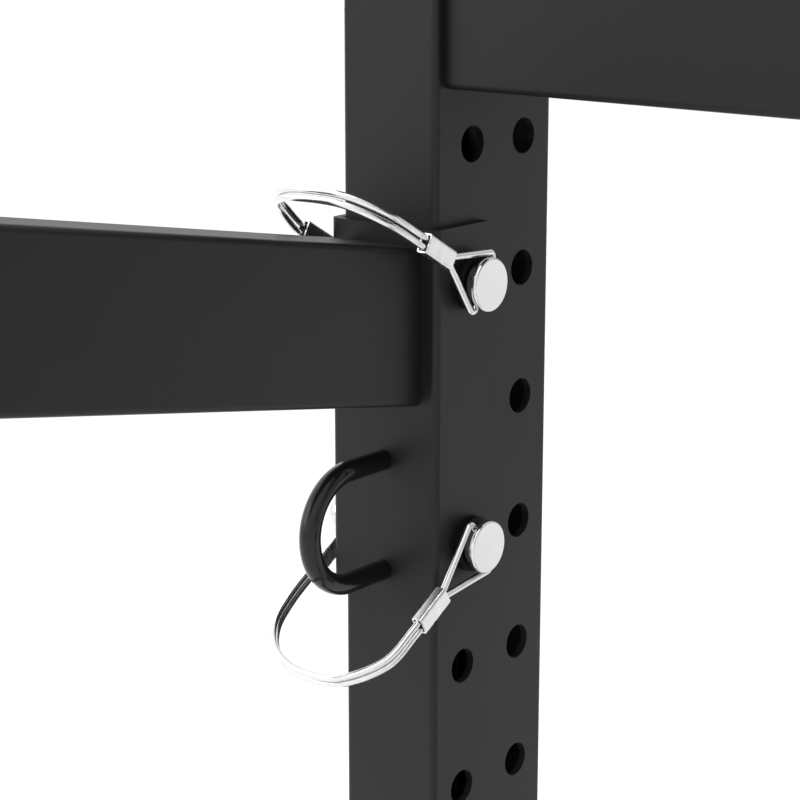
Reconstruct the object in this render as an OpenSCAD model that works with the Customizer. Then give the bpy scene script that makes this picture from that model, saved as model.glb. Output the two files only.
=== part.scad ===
/* [Cage] */
// Width over the outer faces of the uprights
cage_w = 1200; // [1160:10:1300]
// Depth over the front and rear faces of the uprights
cage_d = 940; // [900:10:1100]
// Length of the upright tubes
upright_len = 2100; // [2100:50:2250]

/* [Uprights] */
// Upright tube size across the cage
tube_w = 44; // [44:1:46]
// Upright tube size from front to rear
tube_d = 70; // [70:1:74]
// Wall of every square and flat tube
wall = 3; // [2.5:0.5:3.5]
// Outer corner radius of the tubes
corner_r = 2.5; // [1.5:0.5:3]
// Diameter of the accessory holes
hole_d = 13.5; // [13.5:0.1:14]
// Height between the rows of holes
pitch = 50; // [50:0.1:50.5]
// Centre of each column of holes from the nearest face of the tube
column_in = 17.6; // [17.6:0.1:18]
// Centre of the set-in hole below the middle crossmember
set_in_hole = 21.3; // [21:0.1:21.5]

/* [Crossmembers and rails] */
// Size of the crossmembers and rails from front to rear
beam_d = 60; // [56:1:60]
// Height of the crossmembers and rails
beam_h = 58; // [56:1:60]
// Thickness of the plates welded on their ends
end_plate_t = 7.2; // [6:0.2:8]
// Width of the side rails across the cage
rail_w = 40; // [38:1:42]
// Diameter of the pull-up bar
grip_d = 32; // [28:1:34]

/* [Feet] */
// Thickness of the foot plates
foot_t = 8; // [6:1:10]
// Thickness of the rubber pads under the foot plates
pad_t = 4; // [3:1:6]
// Length of a foot plate from front to rear
foot_len = 130; // [120:5:140]
// How far a foot plate reaches out beside the upright
foot_out = 40; // [36:1:44]
// Diameter of the floor anchor holes
anchor_d = 14; // [12:1:14]

/* [Spotter arms] */
// Width of an arm
arm_w = 35; // [30:1:35]
// Height of an arm, square to its length
arm_h = 58; // [54:1:60]
// Length of an arm along its centre line
arm_len = 560; // [450:10:600]
// Rise of an arm away from the upright, in degrees
arm_rise = 10.05; // [8:0.05:11]
// Height of an arm's centre line above the middle of its bracket
arm_up = 35; // [34:0.5:36]
// Height of the arm bracket
bracket_h = 143; // [140:1:146]
// How far the bracket reaches back along the upright's sides
bracket_back = 27.5; // [27:0.5:30]
// Plate thickness of the bracket
bracket_t = 3; // [3:0.5:3.5]
// Rod diameter of the band ring
ring_rod = 8; // [7:0.5:8]
// Height between the two legs of the band ring
ring_legs = 43; // [40:1:44]
// Straight length of each leg of the band ring
ring_straight = 20; // [18:1:21]

/* [Lock pins] */
// Diameter of the pin shafts
pin_d = 12.7; // [12.5:0.1:12.8]
// Diameter of the pin heads
head_d = 20; // [19:0.2:20.6]
// Diameter of the lanyard cable
cable_d = 2.6; // [2.4:0.1:2.6]
// Diameter of the bail wire that joins the cable to the pin
bail_d = 2.6; // [2.2:0.1:2.6]
// Length of a ferrule
ferrule_len = 16.5; // [15:0.5:17]

/* [Bar hooks and safety bars] */
// Row of holes that carries the bar hooks, counted from the lowest
hook_row = 26; // [22:1:32]
// Row of holes that carries the safety bars, counted from the lowest
safety_row = 9; // [6:1:12]
// Depth of the bar hook's cup
cup_d = 60; // [50:1:64]

/* [Hidden] */
$fn = 48;

// Heights
upright_z = pad_t + foot_t;
first_row = 150;
rows = 38;
mid_row = 19;
pin_rows = [17, 15];
set_in_row = 18;
beam_lift = 4;
beam_below_top = 10;
base_beam_z = upright_z + beam_lift + beam_h / 2;
mid_beam_z = row_z(mid_row);
top_beam_z = upright_z + upright_len - beam_below_top - beam_h / 2;
rail_bolt_step = 15;

// Plan positions, with the origin under the middle of the whole outline
post_x = (cage_w - tube_w) / 2;
post_y = (cage_d - tube_d) / 2;
plate_gap = 0.2;
bracket_face = cage_d / 2 + plate_gap + bracket_t;
arm_reach = arm_len * cos(arm_rise) + arm_h / 2 * sin(arm_rise);
foot_over = (foot_len - tube_d) / 2;
cage_y = (bracket_face + arm_reach - cage_d / 2 - foot_over) / 2;
front_pin_y = -cage_d / 2 + column_in;
beam_len = cage_w - 2 * tube_w;
rail_len = cage_d - 2 * tube_d;

// Feet
foot_in = 6;
foot_r = 8;
anchor_y = 45;

// Inner corners of the tubes, and the plastic caps that plug them
inner_r = 1;
cap_t = 3;
plug_len = 12;
plug_slack = 0.2;

// Spotter arms and band rings
arm_root = 20;
ring_leg_up = 11;

// Fasteners
bolt_d = 12;
bolt_slack = 0.1;
bolt_head_flats = 19;
bolt_head_t = 4.6;
washer_d = 24;
washer_t = 1.6;
bolt_step = (tube_d - 2 * column_in) / 2;

// Lock pins, measured from the middle of the upright along the pin
flange_out = tube_w / 2 + plate_gap + bracket_t;
collar_t = 3;
collar_d = 21;
neck_gap = 0.4;
neck_d = 17;
neck_t = 3.4;
head_t = 2.2;
neck_in = flange_out + collar_t + neck_gap;
bail_u = neck_in + neck_t / 2;
tail_u = bail_u + 8;
tail_tip = 3;
bail_reach = 12;
bail_end = 3.5;
strand_apart = 3.1;
ferrule_w = 7.4;
ferrule_t = 4.8;
ferrule_wall = 0.7;
ferrule_r = 1.2;
wire_in = 3;
wire_slack = 0.6;

// Ferrules of each lanyard: distance from the pin axis at the head and at the tail, and their
// angle above the horizontal
upper_ferrule = [31.3, 27.3, 30];
lower_ferrule = [34.5, 19.4, -30.5];
// Middle of the two cable strands, as [along the pin, out from the upright, up] from the pin axis
upper_route = [
    [29, 53, 30.5], [18.6, 65, 37.6], [0.5, 68, 38.4], [-16.5, 58.5, 34.5], [-26.8, 46.5, 29]
];
lower_route = [
    [28.5, 53.6, -31.9], [17, 66, -37.6], [-0.5, 68.5, -38], [-16.5, 62.5, -35.6],
    [-26.6, 52, -30.5], [-29.8, 40, -23.5]
];
// Straight points at each end of the cable, measured past the ferrule's open end
lead_in = [-14, -wire_in, 4];
route_steps = 4;
tube_sides = 8;

// Bar hooks
hook_z = row_z(hook_row);
hook_gap = 0.5;
hook_t = 6;
hook_top = 20;
hook_drop = 112;
hook_lip = 34;
liner_t = 8;
liner_short = 4;
hook_wide = 50;
peg_out = 6;
peg_tip = 3;
flange_eye = 17;

// Safety bars
safety_z = row_z(safety_row);
safety_gap = 0.5;
cheek_t = 5;
safety_h = 60;
safety_end = 75;
cheek_lap = 60;
slot_d = 14.6;
safety_pivot = cage_d / 2 - tube_d + column_in;
safety_head_t = 5;

colour_frame = "#1c1c1d";
colour_plastic = "#101011";
colour_steel = "#d6d7d9";

function row_z(n) = first_row + n * pitch;

// A point of a Catmull-Rom curve between b and c
function spline_point(a, b, c, d, s) =
    0.5 * (2 * b + (c - a) * s + (2 * a - 5 * b + 4 * c - d) * s * s
        + (3 * b - a - 3 * c + d) * s * s * s);
function spline(p, steps) = concat(
    [for (i = [1 : len(p) - 3]) for (k = [0 : steps - 1])
        spline_point(p[i - 1], p[i], p[i + 1], p[i + 2], k / steps)],
    [p[len(p) - 2]]);
function unit(v) = v / norm(v);
function heading(p, i) = unit(
    p[min(i + 1, len(p) - 1)] - p[max(i - 1, 0)]);

// The part of v that is square to the direction t, as a unit vector
function square_to(v, t) = unit(v - (v * t) * t);

// Round tube along the points p, with the rings turned to the direction up
module swept_tube(p, d, up) {
    n = tube_sides;
    rings = [for (i = [0 : len(p) - 1])
        let (t = heading(p, i), a = unit(cross(t, up)), b = cross(t, a))
        for (k = [0 : n - 1]) p[i] + d / 2 * (cos(360 * k / n) * a + sin(360 * k / n) * b)];
    walls = [for (i = [0 : len(p) - 2]) for (k = [0 : n - 1])
        let (j = (k + 1) % n, q = i * n)
        [q + k, q + n + k, q + n + j, q + j]];
    first_end = [for (k = [0 : n - 1]) k];
    last_end = [for (k = [n - 1 : -1 : 0]) (len(p) - 1) * n + k];
    polyhedron(points = rings, faces = concat(walls, [first_end, last_end]), convexity = 6);
}

module rounded_rect(w, h, r) {
    square([w - 2 * r, h], center = true);
    square([w, h - 2 * r], center = true);
    for (x = [-1, 1], y = [-1, 1])
        translate([x * (w / 2 - r), y * (h / 2 - r)]) circle(r);
}

module tube_outline(w, h) {
    difference() {
        rounded_rect(w, h, corner_r);
        rounded_rect(w - 2 * wall, h - 2 * wall, inner_r);
    }
}

// Cap over the end of a tube, with its plug below z = 0
module tube_cap(w, h) {
    inset = 2 * wall + plug_slack;
    linear_extrude(cap_t) rounded_rect(w, h, corner_r);
    translate([0, 0, -plug_len]) linear_extrude(plug_len + cap_t / 2)
        rounded_rect(w - inset, h - inset, inner_r);
}

// Puts a left-hand piece on the left side, or its mirror image on the right
module on_side(side) {
    translate([0, cage_y, 0])
        if (side == "left") children();
        else mirror([1, 0, 0]) children();
}

// Puts a front piece at the front, or its mirror image at the rear
module on_end(end) {
    if (end == "front") children();
    else mirror([0, 1, 0]) children();
}

module at_corners() {
    for (side = ["left", "right"], end = ["front", "rear"])
        on_side(side) on_end(end) children();
}

module upright(side, end) {
    color(colour_frame)
        on_side(side) on_end(end) translate([-post_x, -post_y, 0])
            difference() {
                translate([0, 0, upright_z]) linear_extrude(upright_len)
                    tube_outline(tube_w, tube_d);
                for (n = [0 : rows - 1]) side_holes(n);
                for (z = [base_beam_z, top_beam_z]) end_holes(z);
            }
}

// Both holes of one row, through both side walls
module side_holes(n) {
    outer = n == set_in_row ? set_in_hole : column_in;
    for (y = [outer - tube_d / 2, tube_d / 2 - column_in])
        translate([0, y, row_z(n)]) cross_hole(hole_d);
}

module cross_hole(d) {
    rotate([0, 90, 0]) cylinder(h = tube_w + 20, d = d, center = true);
}

// Holes for the crossmember bolts and, from front to rear, the rail bolts
module end_holes(z) {
    for (y = [-bolt_step, bolt_step])
        translate([0, y, z]) cross_hole(hole_d);
    for (s = [-1, 1])
        translate([0, 0, z + s * rail_bolt_step]) rotate([90, 0, 0])
            cylinder(h = tube_d + 20, d = hole_d, center = true);
}

module foot_outline(margin) {
    wide = tube_w + foot_out + foot_in;
    difference() {
        translate([(foot_in - foot_out) / 2, 0])
            rounded_rect(wide - 2 * margin, foot_len - 2 * margin, foot_r);
        for (y = [-anchor_y, anchor_y])
            translate([-tube_w / 2 - foot_out / 2, y]) circle(d = anchor_d + 2 * margin);
    }
}

module foot_plates() {
    color(colour_frame) at_corners() translate([-post_x, -post_y, pad_t])
        linear_extrude(foot_t) foot_outline(0);
}

module foot_pads() {
    color(colour_plastic) at_corners() translate([-post_x, -post_y, 0])
        linear_extrude(pad_t) foot_outline(1);
}

module upright_caps() {
    color(colour_plastic) at_corners() translate([-post_x, -post_y, upright_z + upright_len])
        tube_cap(tube_w, tube_d);
}

module crossmember(z) {
    tube_len = beam_len - 2 * end_plate_t;
    color(colour_frame) translate([-tube_len / 2, cage_y - post_y, z])
        rotate([90, 0, 90]) linear_extrude(tube_len) tube_outline(beam_d, beam_h);
}

module side_rail(side, z) {
    tube_len = rail_len - 2 * end_plate_t;
    color(colour_frame) on_side(side) translate([-post_x, tube_len / 2, z])
        rotate([90, 0, 0]) linear_extrude(tube_len) tube_outline(rail_w, beam_h);
}

// Tapped plate on the end of a crossmember, against the upright's inner side
module crossmember_plate(z) {
    translate([-beam_len / 2, -post_y, z]) rotate([90, 0, 90]) linear_extrude(end_plate_t)
        difference() {
            rounded_rect(beam_d, beam_h, corner_r);
            for (y = [-bolt_step, bolt_step]) translate([y, 0]) circle(d = bolt_d);
        }
}

module crossmember_plates() {
    color(colour_frame) for (side = ["left", "right"], z = [base_beam_z, mid_beam_z, top_beam_z])
        on_side(side) crossmember_plate(z);
}

module rail_plates() {
    color(colour_frame) for (z = [base_beam_z, top_beam_z])
        at_corners() translate([-post_x, -rail_len / 2 + end_plate_t, z])
            rotate([90, 0, 0]) linear_extrude(end_plate_t)
                difference() {
                    rounded_rect(rail_w, beam_h, corner_r);
                    for (s = [-1, 1]) translate([0, s * rail_bolt_step]) circle(d = bolt_d);
                }
}

module pull_up_bar() {
    color(colour_frame) translate([0, cage_y + post_y, top_beam_z]) rotate([0, 90, 0])
        difference() {
            cylinder(h = beam_len - 2 * end_plate_t, d = grip_d, center = true);
            cylinder(h = beam_len, d = grip_d - 2 * wall, center = true);
        }
}

module pull_up_flanges() {
    color(colour_frame) for (side = ["left", "right"])
        on_side(side) on_end("rear") crossmember_plate(top_beam_z);
}

// Hexagon bolt that runs towards +X, with its washer's outer face at x = -washer_t
module hex_bolt(grip) {
    rotate([0, 90, 0]) {
        translate([0, 0, -washer_t - bolt_head_t])
            cylinder(h = bolt_head_t, d = bolt_head_flats / cos(30), $fn = 6);
        translate([0, 0, -washer_t - 1]) cylinder(h = grip + washer_t + 1, d = bolt_d - bolt_slack);
    }
}

module washer() {
    rotate([0, -90, 0]) difference() {
        cylinder(h = washer_t, d = washer_d);
        translate([0, 0, -1]) cylinder(h = washer_t + 2, d = bolt_d + 1);
    }
}

// Both fasteners of each crossmember end, at the outer side of the left uprights
module at_crossmember_bolts(end, levels) {
    for (side = ["left", "right"], z = levels, y = [-bolt_step, bolt_step])
        on_side(side) on_end(end) translate([-cage_w / 2, y - post_y, z]) children();
}

module at_rail_bolts() {
    for (z = [base_beam_z, top_beam_z], s = [-1, 1])
        at_corners() translate([-post_x, -cage_d / 2, z + s * rail_bolt_step])
            rotate([0, 0, 90]) children();
}

module crossmember_bolts() {
    color(colour_steel) {
        at_crossmember_bolts("front", [base_beam_z, mid_beam_z, top_beam_z])
            hex_bolt(tube_w + end_plate_t);
        at_crossmember_bolts("rear", [top_beam_z]) hex_bolt(tube_w + end_plate_t);
    }
}

module rail_bolts() {
    color(colour_steel) at_rail_bolts() hex_bolt(tube_d + end_plate_t);
}

module frame_washers() {
    color(colour_steel) {
        at_crossmember_bolts("front", [base_beam_z, mid_beam_z, top_beam_z]) washer();
        at_crossmember_bolts("rear", [top_beam_z]) washer();
        at_rail_bolts() washer();
    }
}

// Moves to the middle of the arm bracket, in the plane of the upright's front face
module at_bracket(side) {
    on_side(side) translate([-post_x, -cage_d / 2, (row_z(pin_rows[0]) + row_z(pin_rows[1])) / 2])
        children();
}

module arm_bracket(side) {
    outer_w = tube_w + 2 * (plate_gap + bracket_t);
    inner_w = tube_w + 2 * plate_gap;
    front = plate_gap + bracket_t;
    pin_gap = row_z(pin_rows[0]) - row_z(pin_rows[1]);
    color(colour_frame) at_bracket(side) difference() {
        translate([0, 0, -bracket_h / 2]) linear_extrude(bracket_h) difference() {
            union() {
                translate([-outer_w / 2, corner_r - front])
                    square([outer_w, bracket_back + front - corner_r]);
                translate([0, (bracket_back - front) / 2])
                    rounded_rect(outer_w, bracket_back + front, corner_r);
            }
            translate([-inner_w / 2, -plate_gap]) square([inner_w, bracket_back + 1]);
        }
        for (s = [-1, 1]) translate([0, column_in, s * pin_gap / 2]) cross_hole(hole_d);
    }
}

// Moves to the arm's centre line where it meets the bracket, with +Z along the arm
module along_arm(side) {
    at_bracket(side) translate([0, -plate_gap - bracket_t, arm_up])
        rotate([90 - arm_rise, 0, 0]) children();
}

module spotter_arm(side) {
    color(colour_frame) difference() {
        along_arm(side) translate([0, 0, -arm_root]) linear_extrude(arm_len + arm_root - cap_t)
            tube_outline(arm_w, arm_h);
        at_bracket(side) translate([-arm_w, -plate_gap - bracket_t, -bracket_h])
            cube([2 * arm_w, 2 * arm_root, 2 * bracket_h]);
    }
}

module arm_caps() {
    color(colour_plastic) for (side = ["left", "right"])
        along_arm(side) translate([0, 0, arm_len - cap_t]) tube_cap(arm_w, arm_h);
}

module band_ring(side) {
    ring_mid = ring_leg_up - bracket_h / 2 + ring_legs / 2;
    color(colour_frame) at_bracket(side)
        translate([0, -plate_gap - bracket_t - ring_straight, ring_mid]) rotate([0, 90, 0]) {
            for (s = [-1, 1]) translate([s * ring_legs / 2, 0, 0])
                rotate([-90, 0, 0]) cylinder(h = ring_straight, d = ring_rod);
            rotate([0, 0, 180]) rotate_extrude(angle = 180)
                translate([ring_legs / 2, 0]) circle(d = ring_rod);
        }
}

// Moves to a lock pin's axis in the middle of the upright; row 0 is the upper pin
module at_pin(side, row) {
    on_side(side) translate([-post_x, front_pin_y, row_z(pin_rows[row])]) children();
}

module pin_collars() {
    color(colour_frame) for (side = ["left", "right"], row = [0, 1], s = [-1, 1])
        at_pin(side, row) rotate([0, s * 90, 0]) translate([0, 0, flange_out]) difference() {
            cylinder(h = collar_t, d = collar_d);
            translate([0, 0, -1]) cylinder(h = collar_t + 2, d = hole_d);
        }
}

// Distance of the ferrule on the head's side (u above 0) or on the tail's side
function ferrule_at(ferrule, u) = u > 0 ? ferrule[0] : ferrule[1];

// Turns the lanyard's own direction, out along the ferrule, to its angle above the horizontal
module turned(ferrule) {
    rotate([-ferrule[2], 0, 0]) children();
}

module lock_pin(side, row, ferrule) {
    color(colour_steel) at_pin(side, row) difference() {
        rotate([0, 90, 0]) {
            translate([0, 0, -tail_u]) cylinder(h = tail_u + neck_in + 1, d = pin_d);
            translate([0, 0, -tail_u - tail_tip])
                cylinder(h = tail_tip, d1 = pin_d - 4, d2 = pin_d);
            translate([0, 0, neck_in]) cylinder(h = neck_t + 1, d = neck_d);
            translate([0, 0, neck_in + neck_t]) cylinder(h = head_t, d = head_d);
        }
        for (u = [-bail_u, bail_u]) turned(ferrule) translate([u, 0, 0])
            cylinder(h = neck_d + 2, d = bail_d + wire_slack, center = true);
    }
}

// Two wire legs on each side, from the ferrule round into the pin's cross hole
module bails(side, row, ferrule) {
    color(colour_steel) at_pin(side, row) turned(ferrule)
        for (u = [-bail_u, bail_u], s = [-1, 1]) {
            start = ferrule_at(ferrule, u) - ferrule_len / 2;
            swept_tube([
                [u, -start - wire_in, s * bail_d * 0.57],
                [u, -start, s * bail_d * 0.6],
                [u, -start + 1.5, s * bail_d * 0.78],
                [u, -1.8, s * (bail_reach - 0.6)],
                [u, -0.5, s * (bail_reach - 0.4)],
                [u, 0, s * (bail_reach - 1.6)],
                [u, 0, s * bail_end]
            ], bail_d, [1, 0, 0]);
        }
}

module ferrules(side, row, ferrule) {
    color(colour_steel) at_pin(side, row) turned(ferrule)
        for (u = [-bail_u, bail_u]) translate([u, ferrule_len / 2 - ferrule_at(ferrule, u), 0])
            rotate([90, 0, 0]) linear_extrude(ferrule_len) difference() {
                rounded_rect(ferrule_t, ferrule_w, ferrule_r);
                rounded_rect(ferrule_t - 2 * ferrule_wall, ferrule_w - 2 * ferrule_wall,
                    ferrule_r - ferrule_wall);
            }
}

// Two strands side by side, from inside the near ferrule round the front to the far one
module cable(side, row, ferrule, route) {
    near_end = ferrule[0] + ferrule_len / 2;
    far_end = ferrule[1] + ferrule_len / 2;
    out = [0, -cos(ferrule[2]), sin(ferrule[2])];
    near = [for (k = lead_in) [bail_u, 0, 0] + (near_end + k) * out];
    far = [for (i = [2 : -1 : 0]) [-bail_u, 0, 0] + (far_end + lead_in[i]) * out];
    middle = [for (p = route) [p[0], -p[1], p[2]]];
    path = spline(concat(near, middle, far), route_steps);
    up = [0, sin(ferrule[2]), cos(ferrule[2])];
    color(colour_steel) at_pin(side, row) for (s = [-1, 1])
        swept_tube([for (i = [0 : len(path) - 1])
            path[i] + s * strand_apart / 2 * square_to(up, heading(path, i))], cable_d, up);
}

// Outline of the hook from the side: back plate, tray and front lip
module hook_outline() {
    back = tube_d / 2 + hook_gap;
    polygon([
        [-back, -hook_top], [-back, -hook_drop], [-back - cup_d - 2 * hook_t, -hook_drop],
        [-back - cup_d - 2 * hook_t, -hook_drop + hook_lip + hook_t],
        [-back - cup_d - hook_t, -hook_drop + hook_lip + hook_t],
        [-back - cup_d - hook_t, -hook_drop + hook_t],
        [-back - hook_t, -hook_drop + hook_t], [-back - hook_t, -hook_top]
    ]);
}

module at_hook(side) {
    on_side(side) translate([-post_x, -post_y, hook_z]) children();
}

module hook(side) {
    flange_x = -tube_w / 2 - hook_gap - hook_t;
    back = tube_d / 2 + hook_gap;
    peg_y = column_in - tube_d / 2;
    color(colour_frame) at_hook(side) {
        translate([flange_x, 0, 0]) rotate([90, 0, 90]) linear_extrude(hook_wide + hook_t)
            hook_outline();
        translate([flange_x, 0, 0]) rotate([90, 0, 90]) linear_extrude(hook_t)
            difference() {
                union() {
                    translate([peg_y, 0]) circle(flange_eye);
                    translate([-back - hook_t, -hook_drop])
                        square([back + hook_t + peg_y + flange_eye, hook_drop - hook_top]);
                    translate([peg_y - flange_eye, -hook_top - 1])
                        square([2 * flange_eye, hook_top + 1]);
                }
                translate([peg_y, 0]) circle(d = pin_d + 0.2);
            }
    }
}

module hook_liner(side) {
    back = tube_d / 2 + hook_gap + hook_t;
    floor_z = -hook_drop + hook_t;
    color(colour_plastic) at_hook(side)
        translate([-tube_w / 2 - hook_gap - hook_t + 1, 0, 0]) rotate([90, 0, 90])
            linear_extrude(hook_wide + hook_t - 2) polygon([
                [-back, -hook_top - liner_short], [-back, floor_z], [-back - cup_d, floor_z],
                [-back - cup_d, floor_z + hook_lip - liner_short],
                [-back - cup_d + liner_t, floor_z + hook_lip - liner_short],
                [-back - cup_d + liner_t, floor_z + liner_t],
                [-back - liner_t, floor_z + liner_t], [-back - liner_t, -hook_top - liner_short]
            ]);
}

module hook_peg(side) {
    color(colour_steel) at_hook(side)
        translate([-tube_w / 2 - hook_gap - hook_t, column_in - tube_d / 2, 0])
            rotate([0, 90, 0]) {
                peg_len = tube_w + hook_gap + hook_t + peg_out;
                cylinder(h = peg_len, d = pin_d);
                translate([0, 0, peg_len]) cylinder(h = peg_tip, d1 = pin_d, d2 = pin_d - 5);
            }
}

module safety_bar(side) {
    half = safety_pivot - safety_end;
    color(colour_frame) on_side(side) translate([-post_x, half, safety_z])
        rotate([90, 0, 0]) linear_extrude(2 * half)
            tube_outline(tube_w + 2 * safety_gap, safety_h);
}

// Cheek plates on both ends: round pivot holes at the rear, slots that drop on a pin at the front
module safety_cheeks(side) {
    eye = safety_h / 2;
    lap = safety_end + cheek_lap;
    color(colour_frame) on_side(side) for (s = [-1, 1])
        translate([-post_x + s * (tube_w / 2 + safety_gap + cheek_t / 2), 0, safety_z])
            rotate([90, 0, 90]) translate([0, 0, -cheek_t / 2]) linear_extrude(cheek_t) {
                difference() {
                    union() {
                        translate([safety_pivot, 0]) circle(eye);
                        translate([safety_pivot - lap, -eye]) square([lap, safety_h]);
                    }
                    translate([safety_pivot, 0]) circle(d = hole_d);
                }
                difference() {
                    union() {
                        translate([-safety_pivot, 0]) circle(eye);
                        translate([-safety_pivot, -eye]) square([lap, safety_h]);
                    }
                    translate([-safety_pivot, 0]) circle(d = slot_d);
                    translate([-safety_pivot - slot_d / 2, -eye - 1]) square([slot_d, eye + 1]);
                }
            }
}

module safety_liner(side) {
    half = safety_pivot - safety_end - cheek_lap - 10;
    color(colour_plastic) on_side(side)
        translate([-post_x, half, safety_z + safety_h / 2 + liner_t / 2]) rotate([90, 0, 0])
            linear_extrude(2 * half) rounded_rect(tube_w, liner_t, 2);
}

// A pin through each upright: the rear one is the pivot, and the front one carries the bar
module safety_pins() {
    side_out = tube_w / 2 + safety_gap + cheek_t + 1;
    tail_at = -side_out - peg_out;
    color(colour_steel) for (side = ["left", "right"], y = [-safety_pivot, safety_pivot])
        on_side(side) translate([-post_x, y, safety_z]) rotate([0, 90, 0]) {
            translate([0, 0, tail_at]) cylinder(h = side_out - tail_at + 1, d = pin_d);
            translate([0, 0, side_out]) cylinder(h = safety_head_t, d = head_d);
            translate([0, 0, tail_at - peg_tip])
                cylinder(h = peg_tip, d1 = pin_d - 4, d2 = pin_d);
        }
}

upright("left", "front");  // upright_front_left
upright("right", "front");  // upright_front_right
upright("left", "rear");  // upright_rear_left
upright("right", "rear");  // upright_rear_right
foot_plates();
foot_pads();
upright_caps();
side_rail("left", base_beam_z);  // base_rail_left
side_rail("right", base_beam_z);  // base_rail_right
side_rail("left", top_beam_z);  // top_rail_left
side_rail("right", top_beam_z);  // top_rail_right
crossmember(base_beam_z);  // base_crossmember
crossmember(mid_beam_z);  // mid_crossmember
crossmember(top_beam_z);  // top_crossmember
pull_up_bar();
crossmember_plates();
rail_plates();
pull_up_flanges();
crossmember_bolts();
rail_bolts();
frame_washers();
arm_bracket("left");  // arm_bracket_left
arm_bracket("right");  // arm_bracket_right
spotter_arm("left");  // spotter_arm_left
spotter_arm("right");  // spotter_arm_right
arm_caps();
band_ring("left");  // band_ring_left
band_ring("right");  // band_ring_right
pin_collars();
lock_pin("left", 0, upper_ferrule);  // upper_pin_left
cable("left", 0, upper_ferrule, upper_route);  // upper_cable_left
bails("left", 0, upper_ferrule);  // upper_bails_left
ferrules("left", 0, upper_ferrule);  // upper_ferrules_left
lock_pin("left", 1, lower_ferrule);  // lower_pin_left
cable("left", 1, lower_ferrule, lower_route);  // lower_cable_left
bails("left", 1, lower_ferrule);  // lower_bails_left
ferrules("left", 1, lower_ferrule);  // lower_ferrules_left
lock_pin("right", 0, upper_ferrule);  // upper_pin_right
cable("right", 0, upper_ferrule, upper_route);  // upper_cable_right
bails("right", 0, upper_ferrule);  // upper_bails_right
ferrules("right", 0, upper_ferrule);  // upper_ferrules_right
lock_pin("right", 1, lower_ferrule);  // lower_pin_right
cable("right", 1, lower_ferrule, lower_route);  // lower_cable_right
bails("right", 1, lower_ferrule);  // lower_bails_right
ferrules("right", 1, lower_ferrule);  // lower_ferrules_right
hook("left");  // hook_left
hook_liner("left");  // hook_liner_left
hook_peg("left");  // hook_peg_left
hook("right");  // hook_right
hook_liner("right");  // hook_liner_right
hook_peg("right");  // hook_peg_right
safety_bar("left");  // safety_bar_left
safety_cheeks("left");  // safety_cheeks_left
safety_liner("left");  // safety_liner_left
safety_bar("right");  // safety_bar_right
safety_cheeks("right");  // safety_cheeks_right
safety_liner("right");  // safety_liner_right
safety_pins();
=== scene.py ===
"""Looks of the power cage: camera, studio, materials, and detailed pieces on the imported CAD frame."""

import math

import bmesh
import bpy
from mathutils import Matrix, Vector


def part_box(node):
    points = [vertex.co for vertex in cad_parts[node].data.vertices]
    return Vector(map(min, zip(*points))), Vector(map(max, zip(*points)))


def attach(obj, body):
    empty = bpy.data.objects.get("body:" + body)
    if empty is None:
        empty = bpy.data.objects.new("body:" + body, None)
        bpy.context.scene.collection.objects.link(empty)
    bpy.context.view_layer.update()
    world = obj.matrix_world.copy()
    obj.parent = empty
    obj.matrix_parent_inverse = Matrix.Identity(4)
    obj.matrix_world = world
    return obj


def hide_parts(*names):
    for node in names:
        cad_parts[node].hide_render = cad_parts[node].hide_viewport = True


MM = 0.001
SIDES = ("left", "right")
ACROSS = Vector((1, 0, 0))

# Edges that turn by less than this are shaded smooth
SMOOTH_BELOW = math.radians(32)

# Camera's place from the upright's inner front corner at the upper pin's height, and its angles
CAMERA_OFFSET = Vector((0.4906, -0.6172, 0.1570))
CAMERA_YAW = 39.41
CAMERA_PITCH = 14.14
CAMERA_LENS = 100.1
SENSOR_WIDTH = 36.0

# Surroundings: the way to their brightest side, and their strength on the dim side and on that one
BRIGHT_WAY = Vector((-0.55, -0.65, 0.52))
DIM, BRIGHT = 0.45, 1.55

# Softboxes: their place, their size in metres and their power in watts
SOFTBOXES = {
    "overhead_softbox": ((-0.6, -0.8, 4.6), 3.5, 50),
    "front_left_softbox": ((-3.2, -3.6, 2.6), 2.5, 30),
}
SOFTBOX_AIM = (0, 0, 1.0)
FLOOR_HALF = 30

# Span of values where most of a noise texture lies
NOISE_LOW, NOISE_HIGH = 0.3, 0.7

# Lock pins, along and round their axis, as in the CAD model
SHAFT_R = 6.35 * MM
NECK_R = 8.5 * MM
HEAD_R = 10.0 * MM
NECK_FROM = 28.6 * MM
HEAD_FROM = 32.0 * MM
HEAD_TO = 34.2 * MM
TAIL_AT = 38.3 * MM
TAIL_TIP = 3.0 * MM

# Bails: their place along the pin, then each leg's radius, the reach of its bend to the side, how
# near its end comes to the pin's axis, the bend's radius, and its length inside the ferrule. The
# leg's middle is LEG_INSIDE from the ferrule's there, and LEG_AT_MOUTH from it just outside.
BAIL_U = 30.3 * MM
BAIL_R = 1.3 * MM
BAIL_REACH = 12.65 * MM
BAIL_END = 3.5 * MM
BAIL_BEND = 1.7 * MM
WIRE_IN = 3.0 * MM
LEG_INSIDE = 1.37 * MM
LEG_AT_MOUTH = 1.45 * MM
MOUTH_GAP = 0.6 * MM

# Ferrules, with two pinches: places along the ferrule are shares of its length
FERRULE_LEN = 16.5 * MM
FERRULE_W = 7.4 * MM
FERRULE_T = 4.8 * MM
FERRULE_R = 1.2 * MM
FERRULE_WALL = 0.7 * MM
RIM_AT, RIM_DENT = 0.015, 0.12 * MM
PINCHES_AT, PINCH_HALF, PINCH_DENT = (0.34, 0.66), 0.06, 0.16 * MM
BORE_DEPTH = 0.25

# Cables: the radius of a strand, and the distance between the two strands' middles
CABLE_R = 1.3 * MM
STRANDS_APART = 3.1 * MM

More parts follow.
